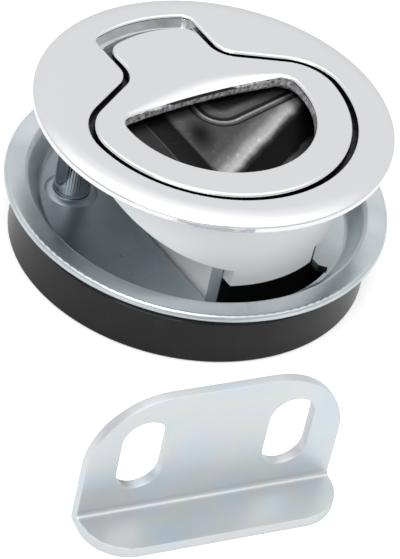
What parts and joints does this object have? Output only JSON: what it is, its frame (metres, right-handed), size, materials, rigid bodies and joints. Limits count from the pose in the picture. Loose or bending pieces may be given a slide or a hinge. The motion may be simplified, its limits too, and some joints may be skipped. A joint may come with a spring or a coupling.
{
  "type": "flush pull latch",
  "caption": "Round flush pull latch for a door or hatch: a chrome lift handle draws back a black slam pawl, with dished zinc mounting plate, black ring and slotted strike bracket.",
  "frame": {"origin": "centre of the panel hole on the door's outer face, where the flange seats", "axes": "+Z out of the door; +Y from the pull ring towards the pawl's nose; +X to the right"},
  "size_m": [0.0885, 0.1076, 0.0299],
  "materials": {
    "chrome_casting": "polished chrome over a zinc casting",
    "chrome_handle": "polished chrome over a zinc casting",
    "zinc_plated_plate": "bright zinc plating with a bluish tint",
    "zinc_plated_bracket": "bright zinc plating with faint iridescence",
    "zinc_plated_steel": "zinc plated",
    "steel_pin": "bright steel",
    "spring_wire": "drawn stainless wire",
    "dark_spring_steel": "dark spring steel",
    "black_pawl": "smooth black moulding",
    "black_ring": "glossy black moulding"
  },
  "bodies": {
    "housing": {"latch_body": "chrome_casting", "handle_pin": "steel_pin", "pin_clip": "dark_spring_steel", "guide_cover": "zinc_plated_steel", "cover_screws": "steel_pin", "mounting_plate": "zinc_plated_plate", "mounting_screws": "steel_pin", "spring_washers": "dark_spring_steel", "spacer_ring": "black_ring", "strike_bracket": "zinc_plated_bracket"},
    "handle": {"pull_handle": "chrome_handle", "drive_lever": "zinc_plated_steel", "handle_springs": "spring_wire"},
    "pawl": {"pawl": "black_pawl", "pawl_springs": "spring_wire"}
  },
  "joints": [
    {"name": "handle_pivot", "type": "hinge", "parent": "housing", "child": "handle", "pos_m": [0, 0.016, -0.0022], "axis": [-1, 0, 0], "range_deg": [0, 30], "stiffness_Nm_per_rad": 0.06, "springref_deg": -14.32, "deforming": ["handle_springs"]},
    {"name": "pawl_slide", "type": "slide", "parent": "housing", "child": "pawl", "axis": [0, -1, 0], "range_m": [0, 0.0114], "stiffness_N_per_m": 10, "springref_m": -0.004, "deforming": ["pawl_springs"]}
  ],
  "couplings": [
    {"joint": "pawl_slide", "follows": "handle_pivot", "m_per_rad": 0.02177}
  ]
}
